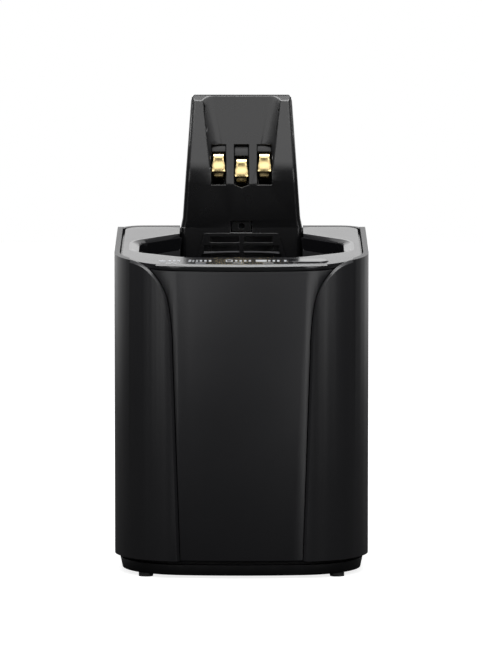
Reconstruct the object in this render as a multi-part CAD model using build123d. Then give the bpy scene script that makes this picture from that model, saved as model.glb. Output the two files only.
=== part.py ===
from build123d import *
import math
import os

# Cleaning and charging dock for an electric shaver, millimetres.
# +Z is up, the front faces -Y, and the origin is on the table under the middle of the dock.

# Body
HALF_WIDTH = 48.0
FRONT = -75.0
BODY_BACK = 20.0
BACK = 74.0
CROWN_RADIUS = 190.0
CROWN_HALF = 25.0
REAR_CORNER = 10.0
WALL = 2.0
FOOT_HEIGHT = 1.2
BASE_TOP = 5.2
BODY_BOTTOM = 6.8
FLOOR_TOP = 8.8
ABOVE_BODY = 160.0

# Sloping deck, measured in its own tilted frame that starts at the front edge
DECK_Z = 117.8
DECK_SLOPE = math.degrees(math.atan(0.0805))
DECK_SIDE = 3.0
DECK_FRONT = 1.3
DECK_THICK = 1.8
DECK_FLANGE = 3.4
RIM_RISE = 0.8
RIM_LENGTH = 87.0
PANEL_DROP = 2.1
NOTCH_HALF = 23.9

# Shaver opening and the bowl under it
OPENING_CORNER = 12.0
BEZEL_EDGE = 1.2
BEZEL_BEVEL = 2.7
BEZEL_BEVEL_DEPTH = 1.2
BEZEL_DEPTH = 6.0
LINER_EDGE = 0.7
LINER_BOTTOM = 88.0
BOWL_BOTTOM = 60.0
BOWL_TAPER = 14.0
BOWL_WALL = 1.8
DRAIN_Y = -26.0
DRAIN_R = 7.0

# Controls under the deck
BUTTON_PLACE = (24.6, 12.4)
BUTTON_SIZE = (15.4, 7.2)
BUTTON_PROUD = 0.5
LENS_Y = 8.6
LENS_SIZE = (4.2, 1.2)
BOARD_TOP = 9.0
BOARD_BOTTOM = 10.4
BOSS_END = 6.6
BOSS_Y = 14.0
BOSS_R = 2.4
PILOT_END = 2.6

# Column that carries the charging contacts
COLUMN_BOTTOM = 112.0
COLUMN_TOP = 176.5
COLUMN_BACK = 17.7
COLUMN_WALL = 2.4
COLUMN_EDGE = 2.0
SHOULDER_Z = 147.5
LEAN_TOP = (14.95, 174.4)
SHOULDER_ROUND = 14.0
SCOOP_ENDS = [(-5, 11.6, 2.8, 7.5), (36, 15.9, 0.5, 4.2)]
CONTACT_PITCH = 8.85
CONTACT_WIDTH = 4.4
CONTACT_THICK = 0.7
CENTRE_DROP = 2.0
SLOT_HALF = 2.7
SLOT_TOP = 157.7
SLOT_BOTTOM = 142.8

# Fan, pump and hoses
FAN_Z = 66.0
FAN_R = 15.0
DUCT_HALF = 11.6
PUMP_X = 33.0
PUMP_Y = 8.0
SHAFT_R = 1.0
HOSE_R = 1.9
HOSE_BORE = 1.2
SPOUT_Z = 126.4

# Water tank behind the column
TANK_FRONT = 20.6
TANK_TOP = 174.5
TANK_BOTTOM = 16.2
TANK_WALL = 2.2
TANK_ROUND = 28.0
TANK_CORNER = 8.0
LID_SPLIT = 167.0
LID_DISH = (15.0, 1.1)
PLATFORM_TOP = 16.0
OUTLET_Y = 45.0
OUTLET_R = 8.9
HINGE_Y = 65.6
HINGE_R = 2.2
PIN_R = 0.8
SIDE_BARRELS = [(-12, -6), (6, 12)]

# Tray and machine room
BAY_HALF = 22.3
TRAY_HALF = 21.9
TRAY_BACK = -6.0
TRAY_TOP = 56.0
CARTRIDGE_HALF = 18.6
CARTRIDGE_FRONT = -64.0
CARTRIDGE_BACK = -12.0
CARTRIDGE_TOP = 36.0
BULKHEAD_Y = -3.0
BOARD_FRONT = 14.4
BOARD_BACK = 16.0
INLET_X = -34.0
INLET_Z = 24.0
INLET_PIN_R = 0.8

# Screw sizes as shank radius, head radius and head height
CASE_SCREW = (1.4, 2.6, 1.2)
BOARD_SCREW = (1.1, 2.1, 1.2)
COLUMN_SCREW = (1.0, 2.1, 1.2)
CONTROL_SCREW = (1.0, 1.9, 1.2)

# Places of what repeats
FEET = [(-36, -60), (36, -60), (-24, 62), (24, 62)]
BASE_HOLES = [(-36, -44), (36, -44), (-40, 9), (40, 9)]
PCB_HOLES = [(-39, 90), (15, 90), (-39, 38), (15, 38)]
COLUMN_HOLES = [(-17.4, 136), (17.4, 136), (-15.2, 163.4), (15.2, 163.4)]
LENS_X = [-26.3, -15.3, -1.3, 10.0]
BOSS_X = [-27, -7, 13]
INLET_PINS = (-37.3, -30.7)

FIT = 0.05
DECK_FRAME = Location((0, FRONT, DECK_Z), (DECK_SLOPE, 0, 0))


def block(x0, x1, y0, y1, z0, z1):
    """A box between two corners."""
    size = Box(x1 - x0, y1 - y0, z1 - z0)
    return Pos((x0 + x1) / 2, (y0 + y1) / 2, (z0 + z1) / 2) * size


def post(x, y, z0, z1, radius):
    """An upright cylinder."""
    return Pos(x, y, (z0 + z1) / 2) * Cylinder(radius, z1 - z0)


def along_y(x, z, y0, y1, radius):
    """A cylinder that lies front to back."""
    return Pos(x, (y0 + y1) / 2, z) * Rot(90, 0, 0) * Cylinder(radius, y1 - y0)


def along_x(y, z, x0, x1, radius):
    """A cylinder that lies side to side."""
    return Pos((x0 + x1) / 2, y, z) * Rot(0, 90, 0) * Cylinder(radius, x1 - x0)


def prism(face, z0, z1):
    """A flat outline raised from one height to another."""
    return extrude(Pos(0, 0, z0) * face, z1 - z0)


def facing(points, y_front, y_back):
    """A plate cut to an outline given as x, z points, between two depths."""
    face = Plane.XZ * make_face(Polyline(*points, close=True))
    return Pos(0, y_back, 0) * extrude(face, y_back - y_front)


def mirrored(points):
    """The right half of an outline followed by its mirror image."""
    return points + [(-x, z) for x, z in reversed(points)]


def join(pieces):
    """Fuses a list of solids into one."""
    whole = pieces[0]
    for piece in pieces[1:]:
        whole = whole + piece
    return whole


def plan(side, front=None):
    """The dock's outline from above, drawn in by `side` at the sides and `front` at the front."""
    front = side if front is None else front
    half = HALF_WIDTH - side
    crown = CROWN_RADIUS - front
    crown_half = CROWN_HALF - side
    lean = math.asin(crown_half / crown)
    corner = (half - crown_half) / (1 - math.sin(lean))
    nose = FRONT + front
    centre_y = nose + crown * (1 - math.cos(lean)) + corner * math.cos(lean)
    centre_x = half - corner
    middle = math.radians(-90 + math.degrees(lean)) / 2
    start = (crown_half, nose + crown * (1 - math.cos(lean)))
    bend = (centre_x + corner * math.cos(middle), centre_y + corner * math.sin(middle))
    side_front = (half, centre_y)
    rear = BODY_BACK - side
    rear_corner = REAR_CORNER - side
    side_back = (half, rear - rear_corner)
    back_side = (half - rear_corner, rear)
    knee = rear_corner * (1 - math.sqrt(0.5))
    rear_bend = (half - knee, rear - knee)

    def flip(point):
        return (-point[0], point[1])

    edges = [
        ThreePointArc(flip(start), (0, nose), start),
        ThreePointArc(start, bend, side_front),
        Line(side_front, side_back),
        ThreePointArc(side_back, rear_bend, back_side),
        Line(back_side, flip(back_side)),
        ThreePointArc(flip(back_side), flip(rear_bend), flip(side_back)),
        Line(flip(side_back), flip(side_front)),
        ThreePointArc(flip(side_front), flip(bend), flip(start)),
    ]
    return make_face(Wire(edges))


def below_deck(drop):
    """Everything under the sloping deck plane lowered by `drop`."""
    return DECK_FRAME * Pos(0, 75, -200 - drop) * Box(200, 400, 400)


def deck_layer(face, top, bottom):
    """The slice of an upright prism between two depths under the deck plane."""
    return (prism(face, BOWL_BOTTOM, ABOVE_BODY) & below_deck(top)) - below_deck(bottom)


def column_notch(front):
    """The upright cutter that clears the column's foot, from a given depth backwards."""
    return block(-NOTCH_HALF, NOTCH_HALF, front, 30, 100, ABOVE_BODY)


def arch(shrink=0.0):
    """The front opening of the outer shell seen from the front: it flares out under the deck."""
    flare_top = 140
    runs = [
        [(22.97, 0), (25.9, 86)],
        [(25.9, 86), (26.55, 97.5), (27.9, 105.7)],
        [(27.9, 105.7), (30.9, 112), (35.4, 117)],
        [(35.4, 117), (38.5, 118.6), (42, 119.4)],
        [(42, 119.4), (42, flare_top)],
    ]
    edges = [Line((-22.97, 0), (22.97, 0)), Line((42, flare_top), (-42, flare_top))]
    for run in runs:
        for side in (1, -1):
            points = [(side * x, z) for x, z in run]
            edges.append(Line(*points) if len(points) == 2 else ThreePointArc(*points))
    face = make_face(Wire.combine(edges)[0])
    if shrink:
        face = offset(face, amount=-shrink)
    return Plane.XZ * face


def arch_cutter(shrink=0.0):
    """The arch pushed back through the front wall."""
    return Pos(0, -40, 0) * extrude(arch(shrink), 60)


def opening(grow=0.0):
    """The eight-sided rounded opening for the shaver head, from above."""
    corners = [
        (41.7, 34.1), (41.7, 59.2), (22, 77.75), (-22, 77.75),
        (-41.7, 59.2), (-41.7, 34.1), (-22, 21.4), (22, 21.4),
    ]
    face = make_face(Polyline(*corners, close=True))
    face = fillet(face.vertices(), OPENING_CORNER)
    return offset(face, amount=grow) if grow else face


def hose(points, radii):
    """A tube along straight runs joined by bends."""
    path = FilletPolyline(*points, radius=radii)
    start = Plane(origin=path @ 0, z_dir=path % 0)
    return sweep(start * Circle(HOSE_R), path) - sweep(start * Circle(HOSE_BORE), path)


def strip(points, width, thick):
    """A bent sheet strip, drawn in side view and centred on x = 0."""
    side = trace(Polyline(*points), line_width=thick)
    return extrude(Plane.YZ * side, width / 2, both=True)


# Outer shell, base and frame

def outer_shell():
    """The wrap-round wall with its arch, its bosses for the main board and its rear cut-outs."""
    wall = prism(plan(0), BODY_BOTTOM, ABOVE_BODY) - prism(plan(WALL), BODY_BOTTOM, ABOVE_BODY)
    wall = (wall & below_deck(-RIM_RISE)) - arch_cutter()
    wall = wall - DECK_FRAME * block(-HALF_WIDTH - 1, HALF_WIDTH + 1, RIM_LENGTH, 120, 0, 20)
    wall = chamfer([edge for edge in wall.edges() if is_on_arch(edge)], 1.0)
    boss_r, _, _ = BOARD_SCREW
    for x, z in PCB_HOLES:
        boss = along_y(x, z, BOARD_BACK, BODY_BACK - 1, 2.5)
        wall = wall + boss - along_y(x, z, BOARD_BACK - 1, 18.6, boss_r)
    wall = wall - block(INLET_X - 7.2, INLET_X + 7.2, 15, 25, INLET_Z - 6.2, INLET_Z + 6.2)
    hose_slot = block(-3.5, 3.5, 15, 25, 0, 14.2)
    column_slot = block(-NOTCH_HALF, NOTCH_HALF, COLUMN_BACK - 0.1, 25, 124.6, ABOVE_BODY)
    return wall - hose_slot - column_slot


def is_on_arch(edge):
    """True for an edge of the arch that lies on the outermost surface of the dock's front."""
    middle = edge @ 0.5
    centre = edge.center()
    near_front = centre.Y < -50 and abs(centre.X) < 41.9
    between = BODY_BOTTOM + 1 < centre.Z < 119.3
    return near_front and between and not plan(1.0).is_inside(Vector(middle.X, middle.Y, 0))


def base_plate():
    """The foot under the body and the tank, drawn in towards the table."""
    tail_length = 65
    tail_y = BACK - 0.5 - tail_length / 2
    rise = FOOT_HEIGHT - BASE_TOP
    foot = extrude(Pos(0, 0, BASE_TOP) * plan(2.0), rise, taper=12)
    tail = extrude(Pos(0, tail_y, BASE_TOP) * RectangleRounded(62, tail_length, 9), rise, taper=20)
    plate = foot + tail + prism(plan(4.6), BASE_TOP - 0.5, BODY_BOTTOM)
    shank, head, _ = CASE_SCREW
    for x, y in BASE_HOLES:
        plate = plate - post(x, y, 0, 2.8, head + 0.4) - post(x, y, 0, 10, shank)
    return plate


def rubber_feet():
    """Four oval pads under the base."""
    pad = extrude(RectangleRounded(5.4, 12, 2.4), FOOT_HEIGHT)
    return Compound([Pos(x, y, 0) * pad for x, y in FEET])


def base_screws():
    """The screws that hold the base to the frame's posts."""
    shank, head, height = CASE_SCREW
    top = 2.8
    return Compound([
        post(x, y, top - height, top, head) + post(x, y, top, 15, shank) for x, y in BASE_HOLES
    ])


def chassis():
    """The inner frame: a floor, a bulkhead, the tray's two guide walls and four screw posts."""
    foot = FLOOR_TOP - 0.5
    frame = prism(plan(2.2, 3.9), BODY_BOTTOM, FLOOR_TOP)
    frame = frame + block(-45.5, 45.5, BULKHEAD_Y, BULKHEAD_Y + 2, foot, 74)
    for side in (-1, 1):
        inner, outer = sorted((side * BAY_HALF, side * (BAY_HALF + 2)))
        frame = frame + block(inner, outer, -69.2, BULKHEAD_Y + 1, foot, BOWL_BOTTOM)
    for x, y in BASE_HOLES:
        frame = frame + post(x, y, foot, 17, 3.4)
    for x, y in BASE_HOLES:
        frame = frame - post(x, y, 0, 15, CASE_SCREW[0])
    return frame


# Deck, shaver opening and bowl

def deck():
    """The sloping cover with its hidden flange, its cut-outs and three bosses for the controls."""
    top = deck_layer(plan(DECK_SIDE, DECK_FRONT), 0, DECK_THICK)
    flange = deck_layer(plan(2.15, 4.3), DECK_THICK - 0.2, DECK_FLANGE)
    plate = top + flange - DECK_FRAME * prism(opening(BEZEL_EDGE), -10, 10) - column_notch(0)
    plate = plate - DECK_FRAME * prism(button_outline(0.3), -10, 10)
    for x in LENS_X:
        plate = plate - DECK_FRAME * prism(lens_outline(x), -10, 10)
    for x in BOSS_X:
        boss = prism(Pos(x, BOSS_Y) * Circle(BOSS_R), -BOSS_END, 0.2 - DECK_FLANGE)
        pilot = prism(Pos(x, BOSS_Y) * Circle(CONTROL_SCREW[0]), -8, -PILOT_END)
        plate = plate + DECK_FRAME * boss - DECK_FRAME * pilot
    return plate


def opening_bezel():
    """The rim round the opening, with a flat bevel all the way round."""
    ring = prism(opening(BEZEL_EDGE), -BEZEL_DEPTH, 0)
    slope = math.degrees(math.atan(BEZEL_BEVEL / BEZEL_BEVEL_DEPTH))
    ring = ring - extrude(opening(), -BEZEL_BEVEL_DEPTH, taper=slope)
    ring = ring - prism(opening(-BEZEL_BEVEL), -BEZEL_DEPTH, 0.1 - BEZEL_BEVEL_DEPTH)
    return DECK_FRAME * ring - column_notch(-2)


def well_liner():
    """The upright wall between the bezel and the bowl, open behind for the column."""
    ring = prism(opening(-LINER_EDGE), LINER_BOTTOM, ABOVE_BODY)
    ring = ring - prism(opening(-BEZEL_BEVEL), BOWL_BOTTOM, ABOVE_BODY)
    ring = (Pos(0, FRONT, 0) * ring) & below_deck(BEZEL_DEPTH)
    clearance = 2.6
    return ring - block(-NOTCH_HALF - clearance, NOTCH_HALF + clearance, -2.5, 30, 100, ABOVE_BODY)


def wash_bowl():
    """The tapered bowl that holds the cleaning liquid round the shaver's head."""
    top = Pos(0, 0, LINER_BOTTOM)
    lip = 3.5
    depth = LINER_BOTTOM - BOWL_BOTTOM
    rim = prism(opening(-LINER_EDGE), LINER_BOTTOM - 2, LINER_BOTTOM)
    cup = extrude(top * opening(-lip), -depth, taper=BOWL_TAPER)
    hollow = extrude(top * opening(-lip - BOWL_WALL), BOWL_WALL - depth, taper=BOWL_TAPER)
    bowl = Pos(0, FRONT, 0) * (rim + cup - hollow)
    return bowl - post(0, DRAIN_Y, 50, 70, DRAIN_R)


def drain_filter():
    """The perforated disc in the bowl's floor."""
    disc = post(0, DRAIN_Y, BOWL_BOTTOM - 1.5, BOWL_BOTTOM + BOWL_WALL, DRAIN_R)
    ring_r = 4.0
    holes = [post(0, DRAIN_Y, 50, 70, 1.4)]
    for step in range(6):
        angle = math.radians(60 * step)
        holes.append(post(ring_r * math.cos(angle), DRAIN_Y + ring_r * math.sin(angle), 50, 70, 1.1))
    return disc - join(holes)


# Controls

def button_outline(grow=0.0):
    """The select button's pill outline."""
    length, width = BUTTON_SIZE
    return Pos(*BUTTON_PLACE) * SlotOverall(length + 2 * grow, width + 2 * grow)


def lens_outline(x):
    """One indicator window."""
    return Pos(x, LENS_Y) * SlotOverall(*LENS_SIZE)


def select_button():
    """The pill-shaped key with the stem that works its switch."""
    cap = prism(button_outline(), -DECK_FLANGE, BUTTON_PROUD)
    stem = prism(Pos(*BUTTON_PLACE) * Circle(1.6), -4.6, 0.2 - DECK_FLANGE)
    return DECK_FRAME * (cap + stem)


def select_switch():
    """The tact switch under the button."""
    return DECK_FRAME * prism(Pos(*BUTTON_PLACE) * Rectangle(6, 6), -BOARD_TOP, -5.6)


def control_pcb():
    """The narrow board under the deck's front."""
    board = prism(Pos(1, 12.6) * Rectangle(62, 11), -BOARD_BOTTOM, -BOARD_TOP)
    for x in BOSS_X:
        board = board - prism(Pos(x, BOSS_Y) * Circle(CONTROL_SCREW[0]), -12, -6)
    return DECK_FRAME * board


def control_screws():
    """The board's screws and the spacers between it and the deck's bosses."""
    shank, head, height = CONTROL_SCREW
    pieces = []
    for x in BOSS_X:
        place = Pos(x, BOSS_Y)
        spacer = prism(place * (Circle(BOSS_R) - Circle(shank)), -BOARD_TOP, -BOSS_END)
        screw = prism(place * Circle(shank), -BOARD_BOTTOM, -PILOT_END)
        screw = screw + prism(place * Circle(head), -BOARD_BOTTOM - height, -BOARD_BOTTOM)
        pieces += [DECK_FRAME * spacer, DECK_FRAME * screw]
    return Compound(pieces)


def indicator_lenses():
    """Four small light windows in the deck."""
    return Compound([DECK_FRAME * prism(lens_outline(x), -DECK_FLANGE, 0) for x in LENS_X])


def indicator_leds():
    """The lamps on the board under the windows."""
    lamp = Rectangle(3.0, 1.6)
    return Compound([DECK_FRAME * prism(Pos(x, LENS_Y) * lamp, -BOARD_TOP, -7.6) for x in LENS_X])


# Column and contacts

def column_front_points(wall):
    """The column's right half seen from the front."""
    reach = 10 if wall else 0
    return [
        (23.5 - wall, COLUMN_BOTTOM - reach), (23.5 - wall, 126), (22.75 - wall, 129.5),
        (19.6 - wall, LEAN_TOP[1] - wall), (18.6 - wall, COLUMN_TOP - wall),
    ]


def column_solid(wall=0.0):
    """The column's tapered, leaning form, drawn in by `wall`, open at the back and foot when hollow."""
    reach = 10 if wall else 0
    foot_y = 2.5
    side = [
        (foot_y + wall, COLUMN_BOTTOM - reach), (foot_y + wall, 126), (wall, SHOULDER_Z),
        (LEAN_TOP[0] + wall, LEAN_TOP[1] - wall), (17.05 + wall / 4, COLUMN_TOP - wall),
        (COLUMN_BACK + reach, COLUMN_TOP - wall), (COLUMN_BACK + reach, COLUMN_BOTTOM - reach),
    ]
    face = Plane.XZ * make_face(Polyline(*mirrored(column_front_points(wall)), close=True))
    profile = make_face(Polyline(*side, close=True))
    shoulder = profile.vertices().sort_by_distance((wall, SHOULDER_Z, 0))[0]
    profile = Plane.YZ * fillet(shoulder, SHOULDER_ROUND)
    return extrude(face, 60, both=True) & extrude(profile, 60, both=True)


def scoop(grow=0.0):
    """The flat-floored hollow in the leaning face, narrow and deep at its foot, wide and shallow at its top."""
    lean = Vector(0, LEAN_TOP[0], LEAN_TOP[1] - SHOULDER_Z).normalized()
    clear = 20
    sections = []
    for along, half, depth, side in SCOOP_ENDS:
        half, depth = half + grow, depth + grow
        frame = Plane(origin=Vector(0, 0, SHOULDER_Z) + lean * along, x_dir=(-1, 0, 0), z_dir=lean)
        flat = half - side
        left = TangentArc((-flat, -depth), (-half, 0), tangent=(-1, 0))
        right = TangentArc((flat, -depth), (half, 0), tangent=(1, 0))
        floor = Line((-flat, -depth), (flat, -depth))
        rest = Polyline((half, 0), (half, clear), (-half, clear), (-half, 0))
        sections.append(frame * make_face(Wire([left, floor, right] + list(rest.edges()))))
    return loft(sections)


def column_front():
    """The column's shell with its scoop, contact slots, screw bosses and outlet cut-outs."""
    form = column_solid()
    front_edges = [
        edge for edge in form.edges()
        if abs(edge.center().X) > 18 and edge.center().Y < 16.5
        and COLUMN_BOTTOM + 1 < edge.center().Z < LEAN_TOP[1] - 1
    ]
    form = fillet(front_edges, COLUMN_EDGE)
    shell = form - scoop() - (column_solid(COLUMN_WALL) - scoop(COLUMN_WALL))
    for x, z in COLUMN_HOLES:
        boss = along_y(x, z, 3.5, COLUMN_BACK, 2.2) & form
        shell = shell + (boss - scoop()) - along_y(x, z, 11, 30, COLUMN_SCREW[0])
    for place in (-1, 0, 1):
        shell = shell - contact_slot(place)
    shell = shell - block(-12.2, 12.2, -5, 6, COLUMN_BOTTOM + 1, 122.6)
    return shell - block(-4, 4, -5, 6, 124.2, 128.4)


def contact_slot(place):
    """The upright slot for one contact; the middle one is longer and ends in a V."""
    x = place * CONTACT_PITCH
    bottom = [(x + SLOT_HALF, SLOT_BOTTOM), (x - SLOT_HALF, SLOT_BOTTOM)]
    if place == 0:
        bottom = [(x + SLOT_HALF, SLOT_BOTTOM), (x, SLOT_BOTTOM - 1.1), (x - SLOT_HALF, SLOT_BOTTOM)]
    return facing([(x - SLOT_HALF, SLOT_TOP), (x + SLOT_HALF, SLOT_TOP)] + bottom, -5, 12.5)


def column_rear():
    """The flat plate that closes the column's back."""
    outline = [(23.0, 127.2), (22.6, 129.5), (19.3, LEAN_TOP[1]), (18.3, COLUMN_TOP)]
    plate = facing(mirrored(outline), COLUMN_BACK, BODY_BACK)
    for x, z in COLUMN_HOLES:
        plate = plate - along_y(x, z, 18.6, 21, 2.2) - along_y(x, z, 15, 21, COLUMN_SCREW[0])
    return plate


def column_screws():
    """The screws that hold the back plate, sunk into it."""
    shank, head, height = COLUMN_SCREW
    seat = 18.6
    return Compound([
        along_y(x, z, seat, seat + height, head) + along_y(x, z, 12, seat, shank) for x, z in COLUMN_HOLES
    ])


def terminal_block():
    """The insulating block that holds the three contacts."""
    body = block(-13.6, 13.6, 12.4, 17.4, 141, 158.2)
    for place in (-1, 0, 1):
        x = place * CONTACT_PITCH
        body = body - block(x - 2.6, x + 2.6, 5, 16.2, 142.6, 157.2)
    return body


def contact(place):
    """One bent spring strip; the middle one sits lower."""
    drop = CENTRE_DROP if place == 0 else 0.0
    points = [
        (14.4, 156.3 - drop), (4.6, 155.7 - drop), (2.9, 153.0 - drop),
        (1.0, 148.3 - drop), (3.6, 145.6 - drop), (14.4, 145.2 - drop),
    ]
    return Pos(place * CONTACT_PITCH, 0, 0) * strip(points, CONTACT_WIDTH, CONTACT_THICK)


def contact_ribbon():
    """The flat cable from the contacts down to the main board."""
    return block(-5, 5, BOARD_BACK, BOARD_BACK + 0.4, 92, 141)


# Air outlet, water spout, fan and pump

def air_outlet_grille():
    """The louvred plate under the column, with a rib up its middle."""
    plate = facing([(19.3, 106), (14.2, 124), (-14.2, 124), (-19.3, 106)], 1.0, 2.5)
    rib = 0.9
    for row, half in enumerate((12.1, 14.4, 15.4, 16.4)):
        top = 122.7 - 3.5 * row
        for x0, x1 in ((-half, -rib), (rib, half)):
            plate = plate - block(x0, x1, -5, 5, top - 2.3, top)
    return plate


def air_duct():
    """The duct that leads the drying air from the fan up to the grille."""
    wall = 1.2
    outer = block(-DUCT_HALF - wall, DUCT_HALF + wall, 5, 13, FAN_Z + 18, 123.4)
    inner = block(-DUCT_HALF, DUCT_HALF, 5 + wall, 13 - wall, 60, 123.4 - wall)
    return outer - inner - block(-DUCT_HALF, DUCT_HALF, 0, 10, 113.2, 123.4 - wall)


def water_spout():
    """The nozzle set back in the notch over the grille."""
    body = block(-3.6, 3.6, 3.4, 5.4, SPOUT_Z - 2, SPOUT_Z + 1.8)
    return body - along_y(0, SPOUT_Z, -3, 8, HOSE_BORE)


def fan_housing():
    """The square blower case."""
    half = FAN_R + 3
    case = block(-half, half, 0.2, 11.5, FAN_Z - half, FAN_Z + half) - along_y(0, FAN_Z, 1.4, 10.3, FAN_R)
    case = case - block(-DUCT_HALF, DUCT_HALF, 6.2, 10.3, FAN_Z + 5, FAN_Z + 20)
    return case - along_y(0, FAN_Z, -1, 3, 8) - along_y(0, FAN_Z, 9, 13, SHAFT_R + FIT)


def fan_rotor():
    """The blower wheel and its shaft."""
    hub = along_y(0, FAN_Z, 2.4, 9.4, 4) + along_y(0, FAN_Z, 8, 13, SHAFT_R)
    disc = along_y(0, FAN_Z, 8.6, 9.4, FAN_R - 2)
    blades = [
        Pos(0, 0, FAN_Z) * Rot(0, angle, 0) * Pos(11.2, 5.8, 0) * Rot(0, 30, 0) * Box(3.4, 6.0, 0.7)
        for angle in range(0, 360, 24)
    ]
    return join([hub, disc] + blades)


def fan_motor():
    """The flat motor behind the fan."""
    return along_y(0, FAN_Z, 11.5, 14, 8) - along_y(0, FAN_Z, 11, 13.2, SHAFT_R + FIT)


def pump_housing():
    """The pump's cup, with its inlet stub below and its outlet to the side."""
    bore = HOSE_BORE
    cup = post(PUMP_X, PUMP_Y, 26, 40, 8.5) - post(PUMP_X, PUMP_Y, 28, 37, 7)
    cup = cup + block(20.3, 25.8, PUMP_Y - 2.4, PUMP_Y + 2.4, 30, 36)
    cup = cup - post(22.5, PUMP_Y, 32, 40, bore)
    cup = cup - block(22.5, 30, PUMP_Y - 0.8, PUMP_Y + 0.8, 31.5, 33.5)
    cup = cup + post(PUMP_X, PUMP_Y, 22, 26.5, 2.2) - post(PUMP_X, PUMP_Y, 20, 29, bore)
    cup = cup - post(PUMP_X, PUMP_Y, 38.2, 41, 3)
    return cup - post(PUMP_X, PUMP_Y, 30, 41, SHAFT_R + FIT)


def pump_seal():
    """The ring that keeps the water out of the motor."""
    return post(PUMP_X, PUMP_Y, 38.2, 40, 3) - post(PUMP_X, PUMP_Y, 38, 41, SHAFT_R + FIT)


def pump_impeller():
    """The six-vaned wheel and its shaft."""
    wheel = post(PUMP_X, PUMP_Y, 31, 32, 6) + post(PUMP_X, PUMP_Y, 31.5, 44, SHAFT_R)
    vanes = [
        Pos(PUMP_X, PUMP_Y, 33.4) * Rot(0, 0, angle) * Pos(3.6, 0, 0) * Box(4.4, 0.8, 3.2)
        for angle in range(0, 360, 60)
    ]
    return join([wheel] + vanes)


def pump_motor():
    """The pump's upright motor."""
    can = post(PUMP_X, PUMP_Y, 40, 62, 7.5) + post(PUMP_X, PUMP_Y, 61.8, 63.4, 3)
    return can - post(PUMP_X, PUMP_Y, 39, 44.4, SHAFT_R + FIT)


def supply_hose():
    """The hose from the pump up to the spout."""
    riser_x, riser_y = 16.6, 10
    points = [
        (22.5, PUMP_Y, 36), (22.5, PUMP_Y, 96), (riser_x, riser_y, 108),
        (riser_x, riser_y, SPOUT_Z), (0, riser_y, SPOUT_Z), (0, 5.4, SPOUT_Z),
    ]
    return hose(points, [8, 6, 6, 3.5])


def inlet_hose():
    """The hose from the tank's seat to the pump."""
    low = 11
    points = [(0, OUTLET_Y - 7, low), (0, PUMP_Y, low), (PUMP_X, PUMP_Y, low), (PUMP_X, PUMP_Y, 22)]
    return hose(points, [8, 6])


# Electronics

def main_pcb():
    """The main board behind the bulkhead."""
    board = block(-42, 18, BOARD_FRONT, BOARD_BACK, 34, 94)
    for x, z in PCB_HOLES:
        board = board - along_y(x, z, 10, 20, BOARD_SCREW[0])
    return board


def pcb_components():
    """The transformer, relay, driver, chip and two capacitors on the main board."""
    front = BOARD_FRONT
    return Compound([
        block(-32, -22, front - 5.0, front, 38, 52),
        block(-16, -4, front - 4.0, front, 36, 46),
        block(2, 11, front - 3.0, front, 36, 45),
        block(-34, -24, front - 1.5, front, 64, 74),
        along_y(-28, 58, front - 7.0, front, 3.2),
        along_y(-38, 52, front - 6.0, front, 2.6),
    ])


def pcb_screws():
    """The main board's four screws."""
    shank, head, height = BOARD_SCREW
    front = BOARD_FRONT
    return Compound([
        along_y(x, z, front - height, front, head) + along_y(x, z, front, 18.6, shank) for x, z in PCB_HOLES
    ])


def power_inlet():
    """The two-pole socket at the back."""
    body = block(INLET_X - 7, INLET_X + 7, 6, BODY_BACK, INLET_Z - 6, INLET_Z + 6)
    socket = Plane.XZ * (Pos(INLET_X, INLET_Z) * SlotOverall(11.4, 7.4))
    body = body - Pos(0, BODY_BACK + 1, 0) * extrude(socket, 11.5)
    for x in INLET_PINS:
        body = body - along_y(x, INLET_Z, 4, 12, INLET_PIN_R)
    return body


def inlet_pins():
    """The socket's two pins."""
    return Compound([along_y(x, INLET_Z, 3.5, 17.5, INLET_PIN_R) for x in INLET_PINS])


# Water tank and its platform

def tank_platform():
    """The low shelf that the tank stands on."""
    middle = (TANK_FRONT + BACK) / 2
    length = BACK - TANK_FRONT
    wall = 1.5
    outline = Pos(0, middle, 0) * RectangleRounded(56, length, 8)
    inner = Pos(0, middle, 0) * RectangleRounded(56 - 2 * wall, length - 2 * wall, 8 - wall)
    cover = prism(outline, BASE_TOP, PLATFORM_TOP) - prism(inner, BASE_TOP, PLATFORM_TOP - wall)
    cover = cover - block(-3, 3, 18, 30, 8.5, 13.5)
    return cover - post(0, OUTLET_Y, 10, 20, 7)


def tank_seat():
    """The cup that catches the tank's water, with the pin that opens the tank's valve."""
    cup = post(0, OUTLET_Y, 8.6, PLATFORM_TOP, 7) - post(0, OUTLET_Y, 10, 14, 3)
    cup = cup + post(0, OUTLET_Y, 15.5, 20, 1.2)
    for angle in range(0, 360, 120):
        cup = cup - Pos(0, OUTLET_Y, 15) * Rot(0, 0, angle) * Pos(2.6, 0, 0) * Cylinder(0.8, 6)
    return cup - along_y(0, 11, OUTLET_Y - 8, OUTLET_Y, HOSE_BORE)


def seat_gasket():
    """The ring that seals the tank's outlet to the seat."""
    return post(0, OUTLET_Y, PLATFORM_TOP, 17.6, 6.9) - post(0, OUTLET_Y, 15, 19, 4.6)


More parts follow.
